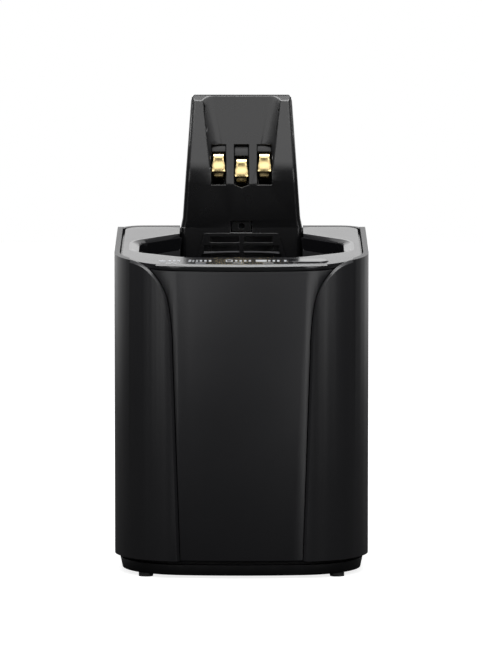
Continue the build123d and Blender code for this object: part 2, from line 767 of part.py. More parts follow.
def tank_solid(inset, low, high):
    """The tank's tapered form with its rounded top rear edge, between two heights."""
    face = make_face(Polyline(*mirrored([(26, TANK_BOTTOM), (22, 124), (18.3, TANK_TOP)]), close=True))
    centre = (BACK - TANK_ROUND, TANK_TOP - TANK_ROUND)
    knee = TANK_ROUND * math.sqrt(0.5)
    arc = ThreePointArc((BACK, centre[1]), (centre[0] + knee, centre[1] + knee), (centre[0], TANK_TOP))
    corners = [
        (centre[0], TANK_TOP), (TANK_FRONT, TANK_TOP), (TANK_FRONT, TANK_BOTTOM), (BACK, TANK_BOTTOM),
        (BACK, centre[1]),
    ]
    profile = make_face(Wire([arc] + list(Polyline(*corners).edges())))
    if inset:
        face = offset(face, amount=-inset)
        profile = offset(profile, amount=-inset)
    whole = extrude(Plane.XZ * face, 100, both=True) & extrude(Plane.YZ * profile, 60, both=True)
    rear = [edge for edge in whole.edges() if edge.center().Y > 60 and abs(edge.center().X) > 15]
    whole = fillet(rear, TANK_CORNER - inset)
    return whole & block(-60, 60, 0, 100, low, high)


def tank_body():
    """The clear tank with its outlet hole and the two outer hinge barrels."""
    shell = tank_solid(0, TANK_BOTTOM, LID_SPLIT - 0.2) - tank_solid(TANK_WALL, 0, 200)
    for x0, x1 in SIDE_BARRELS:
        shell = shell + along_x(HINGE_Y, LID_SPLIT, x0, x1, HINGE_R)
    shell = shell - along_x(HINGE_Y, LID_SPLIT, -5.85, 5.85, HINGE_R + 0.3)
    shell = shell - along_x(HINGE_Y, LID_SPLIT, -20, 20, PIN_R)
    return shell - post(0, OUTLET_Y, 10, 20, OUTLET_R)


def tank_lid():
    """The lid, dished on top for a finger, with the middle hinge barrel."""
    cap = tank_solid(0, LID_SPLIT, TANK_TOP) - tank_solid(TANK_WALL, 0, 200)
    half, depth = LID_DISH
    dish_r = (half ** 2 + depth ** 2) / (2 * depth)
    cap = cap - along_y(0, TANK_TOP - depth + dish_r, TANK_FRONT + 2, BACK + 10, dish_r)
    cap = cap + along_x(HINGE_Y, LID_SPLIT, -5.6, 5.6, HINGE_R)
    for x0, x1 in SIDE_BARRELS:
        cap = cap - along_x(HINGE_Y, LID_SPLIT, x0 - 0.25, x1 + 0.25, HINGE_R + 0.3)
    return cap - along_x(HINGE_Y, LID_SPLIT, -20, 20, PIN_R + FIT)


def lid_hinge_pin():
    """The steel pin, tight in the tank's barrels and free in the lid's."""
    return along_x(HINGE_Y, LID_SPLIT, -12, 12, PIN_R)


def lid_gasket():
    """The soft ring inside the lid; its skirt stops short of the hinge, so that the lid can tip."""
    upper = tank_solid(TANK_WALL, LID_SPLIT + 0.3, 169)
    skirt = tank_solid(TANK_WALL + 0.3, 164.4, LID_SPLIT + 0.3) & block(-60, 60, 0, 52, 0, 200)
    ring = upper + skirt - tank_solid(TANK_WALL + 2, 0, 200)
    return ring - along_x(HINGE_Y, LID_SPLIT, -13, 13, HINGE_R + 0.6)


def outlet_cap():
    """The threaded collar in the tank's floor."""
    bore = OUTLET_R - 1.5
    cup = post(0, OUTLET_Y, TANK_BOTTOM, 30, OUTLET_R) + post(0, OUTLET_Y, 18.4, 20, 11)
    return cup - post(0, OUTLET_Y, 10, 28, bore) - post(0, OUTLET_Y, 20, 40, 3)


def tank_valve():
    """The valve's stem with its foot and its head."""
    stem = post(0, OUTLET_Y, 20.2, 35, 1.6)
    return stem + post(0, OUTLET_Y, 20.2, 21.3, 4) + post(0, OUTLET_Y, 33.9, 35.9, 5.4)


def valve_seal():
    """The washer under the valve's head."""
    return post(0, OUTLET_Y, 33, 33.9, 5) - post(0, OUTLET_Y, 30, 36, 1.6)


def valve_spring():
    """The coil that pulls the valve shut when the tank is lifted."""
    turns = 4
    low, high = 21.7, 27.6
    path = Pos(0, OUTLET_Y, low) * Helix(pitch=(high - low) / turns, height=high - low, radius=2.9)
    start = Plane(origin=path @ 0, z_dir=path % 0)
    return sweep(start * Circle(0.35), path)


# Cleaning tray behind the front panel

def front_panel():
    """The curved panel that closes the arch; it is the tray's front."""
    skin = prism(plan(1.0), BODY_BOTTOM + 0.3, ABOVE_BODY) - prism(plan(3.5), 0, ABOVE_BODY)
    return skin & arch_cutter(0.35) & below_deck(PANEL_DROP)


def tray_tub():
    """The open tub behind the panel."""
    outline = tray_outline(3.5, TRAY_HALF, TRAY_BACK)
    inner = tray_outline(5.5, TRAY_HALF - 2, TRAY_BACK - 2)
    return prism(outline, FLOOR_TOP + 0.4, TRAY_TOP) - prism(inner, FLOOR_TOP + 2.4, 100)


def tray_outline(inset, half, back):
    """The tub's outline from above: the dock's own curve in front, straight at the sides and back."""
    length = back - FRONT + 10
    return plan(inset) & Pos(0, back - length / 2) * Rectangle(2 * half, length)


def detergent_cartridge():
    """The open box of cleaning fluid in the tray."""
    half, front, back = CARTRIDGE_HALF, CARTRIDGE_FRONT, CARTRIDGE_BACK
    wall = 1.4
    low = 11.2
    case = block(-half, half, front, back, low, CARTRIDGE_TOP)
    return case - block(wall - half, half - wall, front + wall, back - wall, low + wall, CARTRIDGE_TOP + 4)


def cartridge_lid():
    """The cartridge's cover, with one mouth for used liquid and one for the pump's return."""
    half, front, back = CARTRIDGE_HALF, CARTRIDGE_FRONT, CARTRIDGE_BACK
    lid = block(-half, half, front, back, CARTRIDGE_TOP, CARTRIDGE_TOP + 1.4)
    for y in (DRAIN_Y, DRAIN_Y - 24):
        lid = lid - block(-9, 9, y - 5, y + 5, 30, 40)
    return lid


def tray_filter():
    """The hair filter over the cartridge: a frame and cross bars."""
    low, high = CARTRIDGE_TOP + 1.4, CARTRIDGE_TOP + 4
    frame = block(-19, 19, -66, -9, low, high) - block(-16, 16, -63, -12, low - 1, high + 1)
    bars = [block(-17, 17, y, y + 1, low + 0.6, high - 1) for y in range(-55, -15, 8)]
    return join([frame] + bars)


NODES = {
    "outer_shell": outer_shell,
    "chassis": chassis,
    "base_plate": base_plate,
    "rubber_feet": rubber_feet,
    "base_screws": base_screws,
    "deck": deck,
    "opening_bezel": opening_bezel,
    "well_liner": well_liner,
    "wash_bowl": wash_bowl,
    "drain_filter": drain_filter,
    "control_pcb": control_pcb,
    "control_screws": control_screws,
    "indicator_leds": indicator_leds,
    "indicator_lenses": indicator_lenses,
    "select_switch": select_switch,
    "select_button": select_button,
    "column_front": column_front,
    "column_rear": column_rear,
    "column_screws": column_screws,
    "terminal_block": terminal_block,
    "contact_ribbon": contact_ribbon,
    "contact_left": lambda: contact(-1),
    "contact_centre": lambda: contact(0),
    "contact_right": lambda: contact(1),
    "air_outlet_grille": air_outlet_grille,
    "air_duct": air_duct,
    "water_spout": water_spout,
    "fan_housing": fan_housing,
    "fan_rotor": fan_rotor,
    "fan_motor": fan_motor,
    "pump_housing": pump_housing,
    "pump_seal": pump_seal,
    "pump_impeller": pump_impeller,
    "pump_motor": pump_motor,
    "supply_hose": supply_hose,
    "inlet_hose": inlet_hose,
    "main_pcb": main_pcb,
    "pcb_components": pcb_components,
    "pcb_screws": pcb_screws,
    "power_inlet": power_inlet,
    "inlet_pins": inlet_pins,
    "tank_platform": tank_platform,
    "tank_seat": tank_seat,
    "seat_gasket": seat_gasket,
    "tank_body": tank_body,
    "tank_lid": tank_lid,
    "lid_hinge_pin": lid_hinge_pin,
    "lid_gasket": lid_gasket,
    "outlet_cap": outlet_cap,
    "tank_valve": tank_valve,
    "valve_seal": valve_seal,
    "valve_spring": valve_spring,
    "front_panel": front_panel,
    "tray_tub": tray_tub,
    "detergent_cartridge": detergent_cartridge,
    "cartridge_lid": cartridge_lid,
    "tray_filter": tray_filter,
}

os.makedirs("parts", exist_ok=True)
for name, make in NODES.items():
    export_step(make(), os.path.join("parts", name + ".step"))
    print("wrote", name)
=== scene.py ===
# %% [markdown]
# # A cleaning and charging dock for an electric shaver
# The dock is a tall black housing with a sloping deck. A shaver stands head down in the deck's
# opening and leans against a column with three gold contacts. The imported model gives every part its
# size and place, and this lesson adds the finishes and the fine shapes that a mould or a press
# gives the real parts.

import math

import bmesh
import bpy
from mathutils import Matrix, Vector


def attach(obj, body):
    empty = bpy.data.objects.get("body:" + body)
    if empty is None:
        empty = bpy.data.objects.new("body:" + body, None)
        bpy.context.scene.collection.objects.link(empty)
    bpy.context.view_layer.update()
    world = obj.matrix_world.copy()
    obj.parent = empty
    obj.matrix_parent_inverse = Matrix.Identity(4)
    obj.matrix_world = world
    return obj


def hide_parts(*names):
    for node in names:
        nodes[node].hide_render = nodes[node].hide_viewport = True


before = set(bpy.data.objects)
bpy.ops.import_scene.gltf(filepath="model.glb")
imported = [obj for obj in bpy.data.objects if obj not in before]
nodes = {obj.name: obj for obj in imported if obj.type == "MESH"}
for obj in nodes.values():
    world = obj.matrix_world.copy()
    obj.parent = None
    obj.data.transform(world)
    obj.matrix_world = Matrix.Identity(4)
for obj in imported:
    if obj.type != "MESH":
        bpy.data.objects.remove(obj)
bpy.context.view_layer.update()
bpy.ops.object.select_all(action="DESELECT")
MM = 0.001

# %% [markdown]
# ## The studio
# The dock stands on white, under large soft lights. A long lens from two metres keeps its sides
# parallel. The room is bright behind the dock and above it, and dim in front of it, so that the
# black plastic stays black, while the glossy deck mirrors the bright wall behind.

# %% The camera
CAMERA_BACK = 2.075
CAMERA_HEIGHT = 0.299
LENS = 288.9
SENSOR = 36.0
TILT = math.radians(5.911)

bpy.ops.object.camera_add(
    location=(0, -CAMERA_BACK, CAMERA_HEIGHT), rotation=(math.pi / 2 - TILT, 0, 0)
)
camera = bpy.context.object
camera.name = "studio_camera"
camera.data.lens = LENS
camera.data.sensor_width = SENSOR
camera.data.clip_end = 20.0
bpy.context.scene.camera = camera
bpy.context.scene.view_settings.view_transform = "Standard"
print("camera at", tuple(round(value, 3) for value in camera.location))


# %% The lights
def softbox(name, place, aim, size, power):
    """A rectangular lamp of the given size, turned to face a point."""
    bpy.ops.object.light_add(type="AREA", location=place)
    lamp = bpy.context.object
    lamp.name = name
    lamp.data.shape = "RECTANGLE"
    lamp.data.size, lamp.data.size_y = size
    lamp.data.energy = power
    turn = (Vector(aim) - Vector(place)).to_track_quat("-Z", "Y")
    lamp.rotation_euler = turn.to_euler()
    lamp.visible_camera = False


MIDDLE = (0, 0, 0.09)
SIDE_SIZE = (0.30, 0.64)
softbox("left_light", (-0.50, -0.83, 0.34), MIDDLE, SIDE_SIZE, 1.45)
softbox("right_light", (0.50, -0.83, 0.34), MIDDLE, SIDE_SIZE, 1.85)
softbox("top_light", (0, -0.85, 1.25), (0, 0, 0.15), (1.0, 0.9), 3.4)
softbox("strip_light", (0, -0.29, 1.4), (0, -0.07, 0.12), (1.2, 0.30), 16.0)
print("lights ready")

# %% [markdown]
# The walls of the room are a world shader. A world's Generated coordinate is the direction that a
# ray looks in, so its Y says how far behind the dock a wall is, and its Z how high. Camera rays see
# plain white.

# %% The room
ROOM_FRONT = 0.10
ROOM_BACK = 1.35
ROOM_TOP = 0.55
BACK_FADE = (0.30, 0.90)
TOP_FADE = (0.45, 0.85)


def ramp(tree, source, fade, top):
    """Rises smoothly from zero at the start of `fade` to `top` at its end."""
    rise = tree.nodes.new("ShaderNodeMapRange")
    rise.interpolation_type = "SMOOTHSTEP"
    rise.inputs["From Min"].default_value, rise.inputs["From Max"].default_value = fade
    rise.inputs["To Min"].default_value = 0.0
    rise.inputs["To Max"].default_value = top
    tree.links.new(source, rise.inputs["Value"])
    return rise.outputs["Result"]


def brightest(tree, first, second):
    """The larger of two values; either may be a plain number."""
    larger = tree.nodes.new("ShaderNodeMath")
    larger.operation = "MAXIMUM"
    for socket, value in zip(larger.inputs, (first, second)):
        if isinstance(value, float):
            socket.default_value = value
        else:
            tree.links.new(value, socket)
    return larger.outputs[0]


world = bpy.data.worlds.new("studio_room")
bpy.context.scene.world = world
world.use_nodes = True
tree = world.node_tree
background = tree.nodes["Background"]
background.inputs["Color"].default_value = (1, 1, 1, 1)
looks = tree.nodes.new("ShaderNodeTexCoord")
split = tree.nodes.new("ShaderNodeSeparateXYZ")
tree.links.new(looks.outputs["Generated"], split.inputs[0])
back_wall = ramp(tree, split.outputs["Y"], BACK_FADE, ROOM_BACK)
ceiling = ramp(tree, split.outputs["Z"], TOP_FADE, ROOM_TOP)
walls = brightest(tree, brightest(tree, back_wall, ceiling), ROOM_FRONT)
path = tree.nodes.new("ShaderNodeLightPath")
level = tree.nodes.new("ShaderNodeMix")
tree.links.new(path.outputs["Is Camera Ray"], level.inputs["Factor"])
tree.links.new(walls, level.inputs["A"])
level.inputs["B"].default_value = 1.0
tree.links.new(level.outputs["Result"], background.inputs["Strength"])
print("room ready")

# %% [markdown]
# The table is a white disc. A camera ray sees it glow a little, which hides its edge against the
# white room, while its own lit part keeps a soft shadow under the dock. Every other ray meets a dim
# table, so that little light comes back up and the foot of the dock stays dark.

# %% The table
TABLE_RADIUS = 1.4
TABLE_DIM = 0.07
TABLE_SEEN = 0.45
TABLE_GLOW = 0.82

bpy.ops.mesh.primitive_circle_add(
    vertices=96, radius=TABLE_RADIUS, fill_type="NGON", location=(0, 0, 0)
)
table = bpy.context.object
table.name = "studio_table"
table_paint = bpy.data.materials.new("studio_white")
table_paint.use_nodes = True
paint_tree = table_paint.node_tree
paint = paint_tree.nodes["Principled BSDF"]
paint.inputs["Roughness"].default_value = 0.9
paint.inputs["Specular IOR Level"].default_value = 0.0
paint.inputs["Emission Color"].default_value = (1, 1, 1, 1)
seen = paint_tree.nodes.new("ShaderNodeLightPath")
tone = paint_tree.nodes.new("ShaderNodeMix")
tone.data_type = "RGBA"
tone.inputs["A"].default_value = (TABLE_DIM, TABLE_DIM, TABLE_DIM, 1)
tone.inputs["B"].default_value = (TABLE_SEEN, TABLE_SEEN, TABLE_SEEN, 1)
glow = paint_tree.nodes.new("ShaderNodeMath")
glow.operation = "MULTIPLY"
glow.inputs[1].default_value = TABLE_GLOW
paint_tree.links.new(seen.outputs["Is Camera Ray"], tone.inputs["Factor"])
paint_tree.links.new(seen.outputs["Is Camera Ray"], glow.inputs[0])
paint_tree.links.new(tone.outputs["Result"], paint.inputs["Base Color"])
paint_tree.links.new(glow.outputs[0], paint.inputs["Emission Strength"])
table.data.materials.append(table_paint)
print("table ready")

# %% [markdown]
# ## Shared surface effects
# Moulded plastic carries the fine texture of its steel mould. One node group makes that grain for
# every plastic part: a height for a bump, a mask for the colour, and a slightly uneven roughness. A
# second group makes the fine parallel scratches of turned, drawn and brushed metal.


# %% Small helpers for node groups
def new_group(name, inputs, outputs):
    """An empty shader group with float inputs and their defaults, and float outputs."""
    group = bpy.data.node_groups.new(name, "ShaderNodeTree")
    for socket_name, value in inputs:
        socket = group.interface.new_socket(
            socket_name, in_out="INPUT", socket_type="NodeSocketFloat"
        )
        socket.default_value = value
    for socket_name in outputs:
        group.interface.new_socket(
            socket_name, in_out="OUTPUT", socket_type="NodeSocketFloat"
        )
    return group, group.nodes.new("NodeGroupInput"), group.nodes.new("NodeGroupOutput")


def noise(tree, vector, scale, detail):
    """A noise texture on a vector; the scale may be a number or a socket."""
    texture = tree.nodes.new("ShaderNodeTexNoise")
    texture.inputs["Detail"].default_value = detail
    tree.links.new(vector, texture.inputs["Vector"])
    if isinstance(scale, (int, float)):
        texture.inputs["Scale"].default_value = scale
    else:
        tree.links.new(scale, texture.inputs["Scale"])
    return texture.outputs["Fac"]


def drifted(tree, source, amount, base):
    """A base value that drifts up and down by `amount` with a 0 to 1 source."""
    centred = tree.nodes.new("ShaderNodeMath")
    centred.operation = "SUBTRACT"
    centred.inputs[1].default_value = 0.5
    tree.links.new(source, centred.inputs[0])
    total = tree.nodes.new("ShaderNodeMath")
    total.operation = "MULTIPLY_ADD"
    tree.links.new(centred.outputs[0], total.inputs[0])
    tree.links.new(amount, total.inputs[1])
    tree.links.new(base, total.inputs[2])
    return total.outputs[0]


# %% The moulded grain group
PATCH_SCALE = 35


def make_grain():
    """Spark-eroded texture: Height for a bump, Mask for colour, Roughness that drifts gently."""
    inputs = (("Scale", 4000.0), ("Roughness", 0.4), ("Drift", 0.06))
    group, entry, result = new_group("moulded_grain", inputs, ("Height", "Mask", "Roughness"))
    place = group.nodes.new("ShaderNodeTexCoord").outputs["Object"]
    fine = noise(group, place, entry.outputs["Scale"], 3)
    patches = noise(group, place, PATCH_SCALE, 4)
    group.links.new(fine, result.inputs["Height"])
    group.links.new(patches, result.inputs["Mask"])
    rough = drifted(group, patches, entry.outputs["Drift"], entry.outputs["Roughness"])
    group.links.new(rough, result.inputs["Roughness"])
    return group


grain_group = make_grain()
print("group:", grain_group.name)


# %% The fine scratch group
SCRATCH_SCALE = 900
TARNISH_SCALE = 120


def make_scratches():
    """Parallel scratches along one axis: noise stretched by unequal scales."""
    inputs = (
        ("Along X", 1.0), ("Along Y", 1.0), ("Along Z", 1.0), ("Roughness", 0.3), ("Drift", 0.15),
    )
    group, entry, result = new_group("fine_scratches", inputs, ("Height", "Mask", "Roughness"))
    place = group.nodes.new("ShaderNodeTexCoord").outputs["Object"]
    squeeze = group.nodes.new("ShaderNodeVectorMath")
    squeeze.operation = "MULTIPLY"
    stretch = group.nodes.new("ShaderNodeCombineXYZ")
    for axis in "XYZ":
        group.links.new(entry.outputs["Along " + axis], stretch.inputs[axis])
    group.links.new(place, squeeze.inputs[0])
    group.links.new(stretch.outputs[0], squeeze.inputs[1])
    lines = noise(group, squeeze.outputs[0], SCRATCH_SCALE, 5)
    group.links.new(lines, result.inputs["Height"])
    group.links.new(noise(group, place, TARNISH_SCALE, 3), result.inputs["Mask"])
    rough = drifted(group, lines, entry.outputs["Drift"], entry.outputs["Roughness"])
    group.links.new(rough, result.inputs["Roughness"])
    return group


scratch_group = make_scratches()
print("group:", scratch_group.name)


# %% One way to build a finish
RELIEF_DEPTH = 0.05


def finish(name, group, values, colour, spread, bump, **constants):
    """A material round one Principled BSDF: the group gives its tone, roughness and relief."""
    material = bpy.data.materials.new(name)
    material.use_nodes = True
    tree = material.node_tree
    shader = tree.nodes["Principled BSDF"]
    for option, value in constants.items():
        socket = option.replace("_", " ").title().replace("Ior", "IOR")
        shader.inputs[socket].default_value = value
    effect = tree.nodes.new("ShaderNodeGroup")
    effect.node_tree = group
    for socket, value in values.items():
        effect.inputs[socket].default_value = value
    tint = tree.nodes.new("ShaderNodeMix")
    tint.data_type = "RGBA"
    colour_sockets = [socket for socket in tint.inputs if socket.type == "RGBA"]
    colour_sockets[0].default_value = (*[part * (1 - spread) for part in colour], 1)
    colour_sockets[1].default_value = (*[min(1, part * (1 + spread)) for part in colour], 1)
    mixed = [socket for socket in tint.outputs if socket.type == "RGBA"][0]
    relief = tree.nodes.new("ShaderNodeBump")
    relief.inputs["Strength"].default_value = bump
    relief.inputs["Distance"].default_value = RELIEF_DEPTH * MM
    tree.links.new(effect.outputs["Mask"], tint.inputs["Factor"])
    tree.links.new(mixed, shader.inputs["Base Color"])
    tree.links.new(effect.outputs["Roughness"], shader.inputs["Roughness"])
    tree.links.new(effect.outputs["Height"], relief.inputs["Height"])
    tree.links.new(relief.outputs["Normal"], shader.inputs["Normal"])
    return material


def plastic(
    name, colour, roughness, grain=4000.0, bump=0.15, drift=0.08, spread=0.12, **constants
):
    """Moulded plastic or rubber with its grain."""
    values = {"Scale": grain, "Roughness": roughness, "Drift": drift}
    return finish(name, grain_group, values, colour, spread, bump, **constants)


def metal(name, colour, roughness, along):
    """Metal with scratches along the axis that has the smallest number in `along`."""
    values = {"Along " + axis: value for axis, value in zip("XYZ", along)}
    values.update({"Roughness": roughness, "Drift": 0.15})
    return finish(name, scratch_group, values, colour, spread=0.10, bump=0.2, metallic=1.0)


# %% [markdown]
# ## The finishes
# The housing is satin black ABS with a faint blue cast, the deck is a smoother, glossier black, and
# the bezel and the button are polished. The tank is smoke-tinted clear plastic: light passes
# straight through its thin wall, so its opacity does the work, and that stays clean and quick to
# render.

# %% Black plastics
satin_black = plastic("satin_black", (0.0085, 0.0085, 0.0100), 0.40)
panel_black = plastic("panel_black", (0.0075, 0.0075, 0.0090), 0.38)
deck_gunmetal = plastic("deck_gunmetal", (0.010, 0.010, 0.011), 0.24, bump=0.06)
gloss_black = plastic("gloss_black", (0.006, 0.006, 0.007), 0.14, bump=0.02, drift=0.03)
column_black = plastic("column_black", (0.005, 0.005, 0.0055), 0.27, bump=0.08)
base_black = plastic(
    "base_black", (0.004, 0.004, 0.0045), 0.55, bump=0.2, specular_ior_level=0.2
)
well_black = plastic("well_black", (0.028, 0.028, 0.030), 0.40, bump=0.1)
inner_black = plastic("inner_black", (0.006, 0.006, 0.007), 0.50, grain=2500.0, bump=0.25)
component_dark = plastic("component_dark", (0.02, 0.02, 0.022), 0.55, grain=6000.0, bump=0.3)
rubber_black = plastic(
    "rubber_black", (0.012, 0.012, 0.012), 0.75, grain=1800.0, bump=0.5, spread=0.3
)
print("black plastics ready")

# %% Light plastics, rubber and metals
machine_grey = plastic("machine_grey", (0.22, 0.22, 0.23), 0.48)
seal_grey = plastic("seal_grey", (0.16, 0.16, 0.17), 0.62, grain=2200.0, bump=0.3)
cartridge_blue = plastic("cartridge_blue", (0.10, 0.22, 0.42), 0.38, alpha=0.85)
hose_clear = plastic("hose_clear", (0.55, 0.57, 0.60), 0.25, alpha=0.65, bump=0.05)
print_white = plastic(
    "print_white", (0.38, 0.39, 0.41), 0.55, grain=9000.0, bump=0.1, spread=0.05
)
smoke_tank = plastic(
    "smoke_tank", (0.012, 0.012, 0.014), 0.07, bump=0.02, drift=0.04, alpha=0.62
)
clear_lens = plastic("clear_lens", (0.60, 0.62, 0.66), 0.30, alpha=0.55, bump=0.1)
gold = metal("gold_contact", (1.0, 0.74, 0.36), 0.20, (1.0, 0.08, 0.08))
steel = metal("steel", (0.56, 0.56, 0.58), 0.28, (1.0, 1.0, 0.1))
motor_can = metal("motor_can", (0.62, 0.62, 0.64), 0.22, (1.0, 1.0, 0.05))
print("other finishes ready")

# %% [markdown]
# The circuit boards are green solder mask over copper tracks. A brick pattern laid on the board's
# face gives runs of track that break at right angles, and its edges lift the mask a little. The
# flat cable has the same idea in one direction: parallel conductors show through a white film.


# %% Circuit board and flat cable
TRACK_GAP = 0.25
UPRIGHT = (math.pi / 2, 0, 0)


def track_finish(name, base, line, size, rough):
    """Printed tracks on an upright face: a brick texture picks the colour and lifts the mask."""
    material = bpy.data.materials.new(name)
    material.use_nodes = True
    tree = material.node_tree
    shader = tree.nodes["Principled BSDF"]
    shader.inputs["Roughness"].default_value = rough
    place = tree.nodes.new("ShaderNodeTexCoord")
    mapping = tree.nodes.new("ShaderNodeMapping")
    mapping.inputs["Rotation"].default_value = UPRIGHT
    tracks = tree.nodes.new("ShaderNodeTexBrick")
    tracks.inputs["Color1"].default_value = (*base, 1)
    tracks.inputs["Color2"].default_value = (*[part * 0.8 for part in base], 1)
    tracks.inputs["Mortar"].default_value = (*line, 1)
    tracks.inputs["Scale"].default_value = 1.0
    tracks.inputs["Brick Width"].default_value = size[0] * MM
    tracks.inputs["Row Height"].default_value = size[1] * MM
    tracks.inputs["Mortar Size"].default_value = TRACK_GAP * MM
    relief = tree.nodes.new("ShaderNodeBump")
    relief.inputs["Strength"].default_value = 0.4
    relief.inputs["Distance"].default_value = RELIEF_DEPTH * MM
    tree.links.new(place.outputs["Object"], mapping.inputs["Vector"])
    tree.links.new(mapping.outputs["Vector"], tracks.inputs["Vector"])
    tree.links.new(tracks.outputs["Color"], shader.inputs["Base Color"])
    tree.links.new(tracks.outputs["Fac"], relief.inputs["Height"])
    tree.links.new(relief.outputs["Normal"], shader.inputs["Normal"])
    return material


board_green = track_finish(
    "board_green", (0.01, 0.09, 0.035), (0.05, 0.20, 0.08), size=(7, 2.4), rough=0.3
)
ribbon_white = track_finish(
    "ribbon_white", (0.62, 0.62, 0.60), (0.40, 0.41, 0.44), size=(1.27, 200), rough=0.45
)
print("boards ready")


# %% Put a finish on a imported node
def dress(material, *names):
    """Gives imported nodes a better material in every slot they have."""
    for name in names:
        slots = nodes[name].data.materials
        for index in range(len(slots)):
            slots[index] = material


dress(satin_black, "outer_shell", "tank_lid", "tank_platform")
dress(panel_black, "front_panel")
dress(deck_gunmetal, "deck")
dress(gloss_black, "opening_bezel", "select_button")
dress(column_black, "column_front", "column_rear", "air_outlet_grille", "water_spout")
dress(well_black, "well_liner")
dress(base_black, "base_plate")
dress(
    inner_black,
    "wash_bowl", "chassis", "tray_tub", "outlet_cap", "terminal_block", "air_duct",
)
dress(component_dark, "select_switch", "fan_rotor", "pcb_components", "power_inlet")
dress(rubber_black, "rubber_feet")
dress(machine_grey, "drain_filter", "fan_housing", "pump_housing", "tank_seat", "tray_filter")
dress(seal_grey, "pump_seal", "seat_gasket", "lid_gasket", "valve_seal")
dress(cartridge_blue, "detergent_cartridge", "cartridge_lid")
dress(hose_clear, "supply_hose", "inlet_hose")
dress(smoke_tank, "tank_body")
dress(clear_lens, "indicator_lenses", "indicator_leds")
dress(gold, "contact_left", "contact_centre", "contact_right")
dress(
    steel,
    "base_screws", "control_screws", "column_screws", "pcb_screws",
    "inlet_pins", "lid_hinge_pin", "valve_spring",
)
dress(motor_can, "fan_motor", "pump_motor")
dress(board_green, "control_pcb", "main_pcb")
dress(ribbon_white, "contact_ribbon", "tank_valve", "pump_impeller")
print("packed nodes dressed")

# %% [markdown]
# ## New pieces, and how they are made
# Each new piece starts as a primitive, is shaped in edit mode by picking faces or edges by their
# place, and ends with its modifiers applied and its origin at zero. Small helpers keep that short:
# `begin` adds the primitive, `pick` selects by a test, `grow` extrudes what is picked and `stretch`
# scales it. `modify` applies a modifier, `rounded` bevels, `settle` finishes the piece, and
# `copy_to` repeats it. Steps, widths and shifts are in millimetres. A primitive's size and place,
# a modifier's own options and the points that a test gets are in metres, as Blender has them.


# %% Modelling helpers
SHARP = math.radians(30)
SMOOTH = math.radians(35)


def begin(kind, name, **options):
    """Adds one primitive with nothing else selected, and opens it in edit mode."""
    if bpy.context.object and bpy.context.object.mode != "OBJECT":
        bpy.ops.object.mode_set(mode="OBJECT")
    bpy.ops.object.select_all(action="DESELECT")
    getattr(bpy.ops.mesh, "primitive_" + kind + "_add")(**options)
    piece = bpy.context.object
    piece.name = piece.data.name = name
    bpy.ops.object.transform_apply(location=True, rotation=True, scale=True)
    bpy.ops.object.mode_set(mode="EDIT")
    return piece


def pick(piece, kind, test):
    """Selects the faces, edges or vertices whose middle, in metres, passes the test."""
    bpy.ops.mesh.select_all(action="DESELECT")
    bpy.ops.mesh.select_mode(type=kind)
    mesh = bmesh.from_edit_mesh(piece.data)
    chosen = {"VERT": mesh.verts, "EDGE": mesh.edges, "FACE": mesh.faces}[kind]
    for part in chosen:
        corners = [part] if kind == "VERT" else part.verts
        middle = sum((corner.co for corner in corners), Vector()) / len(corners)
        if test(middle):
            part.select_set(True)
    mesh.select_flush_mode()
    bmesh.update_edit_mesh(piece.data)


def grow(step):
    """Extrudes what is picked by a step in millimetres."""
    bpy.ops.mesh.extrude_region_move(TRANSFORM_OT_translate={"value": Vector(step) * MM})


def stretch(factors, centre):
    """Scales what is picked about a point in millimetres."""
    bpy.ops.transform.resize(value=factors, center_override=Vector(centre) * MM)


def modify(piece, kind, **options):
    """Adds a modifier and applies it at once."""
    bpy.ops.object.mode_set(mode="OBJECT")
    modifier = piece.modifiers.new(kind.lower(), kind)
    for option, value in options.items():
        setattr(modifier, option, value)
    bpy.ops.object.modifier_apply(modifier=modifier.name)


def rounded(piece, width, segments=2):
    """Bevels every sharp edge of a finished shape by `width` millimetres."""
    modify(
        piece, "BEVEL", width=width * MM, segments=segments, limit_method="ANGLE",
        angle_limit=SHARP,
    )


def settle(piece, body, material):
    """Leaves edit mode, shades the piece and says what it rides on and is made of."""
    if piece.mode != "OBJECT":
        bpy.ops.object.mode_set(mode="OBJECT")
    bpy.ops.object.shade_smooth_by_angle(angle=SMOOTH)
    piece.data.materials.clear()
    piece.data.materials.append(material)
    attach(piece, body)


def copy_to(piece, name, shift, body, material):
    """A copy with a mesh of its own, moved by a shift in millimetres."""
    twin = piece.copy()
    twin.data = piece.data.copy()
    twin.name = twin.data.name = name
    bpy.context.collection.objects.link(twin)
    for vertex in twin.data.vertices:
        vertex.co += Vector(shift) * MM
    bpy.ops.object.select_all(action="DESELECT")
    bpy.context.view_layer.objects.active = twin
    twin.select_set(True)
    settle(twin, body, material)


print("helpers ready")

# %% [markdown]
# ## The spring contacts
# Each contact is one strip of gold-plated bronze, folded so that a wide face leans out of its slot,
# with a narrow tab above and a narrow leg below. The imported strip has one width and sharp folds. A
# plane whose free edge is extruded along the fold gives the real outline, and Solidify then gives
# the sheet its thickness.

# %% One contact, then its two neighbours
PITCH = 8.85
LEG_WIDTH = 3.9
FACE_WIDTH = 5.0
CENTRE_DROP = 2.0
SHEET = 0.5
CONTACT_ROOT = 14.2
CONTACT_FOOT = 144.6
FACE_LOW, FACE_HIGH = 147.9, 152.3
FACE_BACK = 2.6
FOLD = [
    (4.8, CONTACT_FOOT), (3.4, 145.0), (2.2, 146.2), (1.3, 147.4), (1.1, FACE_LOW), (2.1, 150.1),
    (3.1, FACE_HIGH), (3.12, 152.5), (3.4, 153.4), (4.0, 154.1), (4.8, 154.2), (6.0, 153.6),
    (CONTACT_ROOT, 152.6),
]


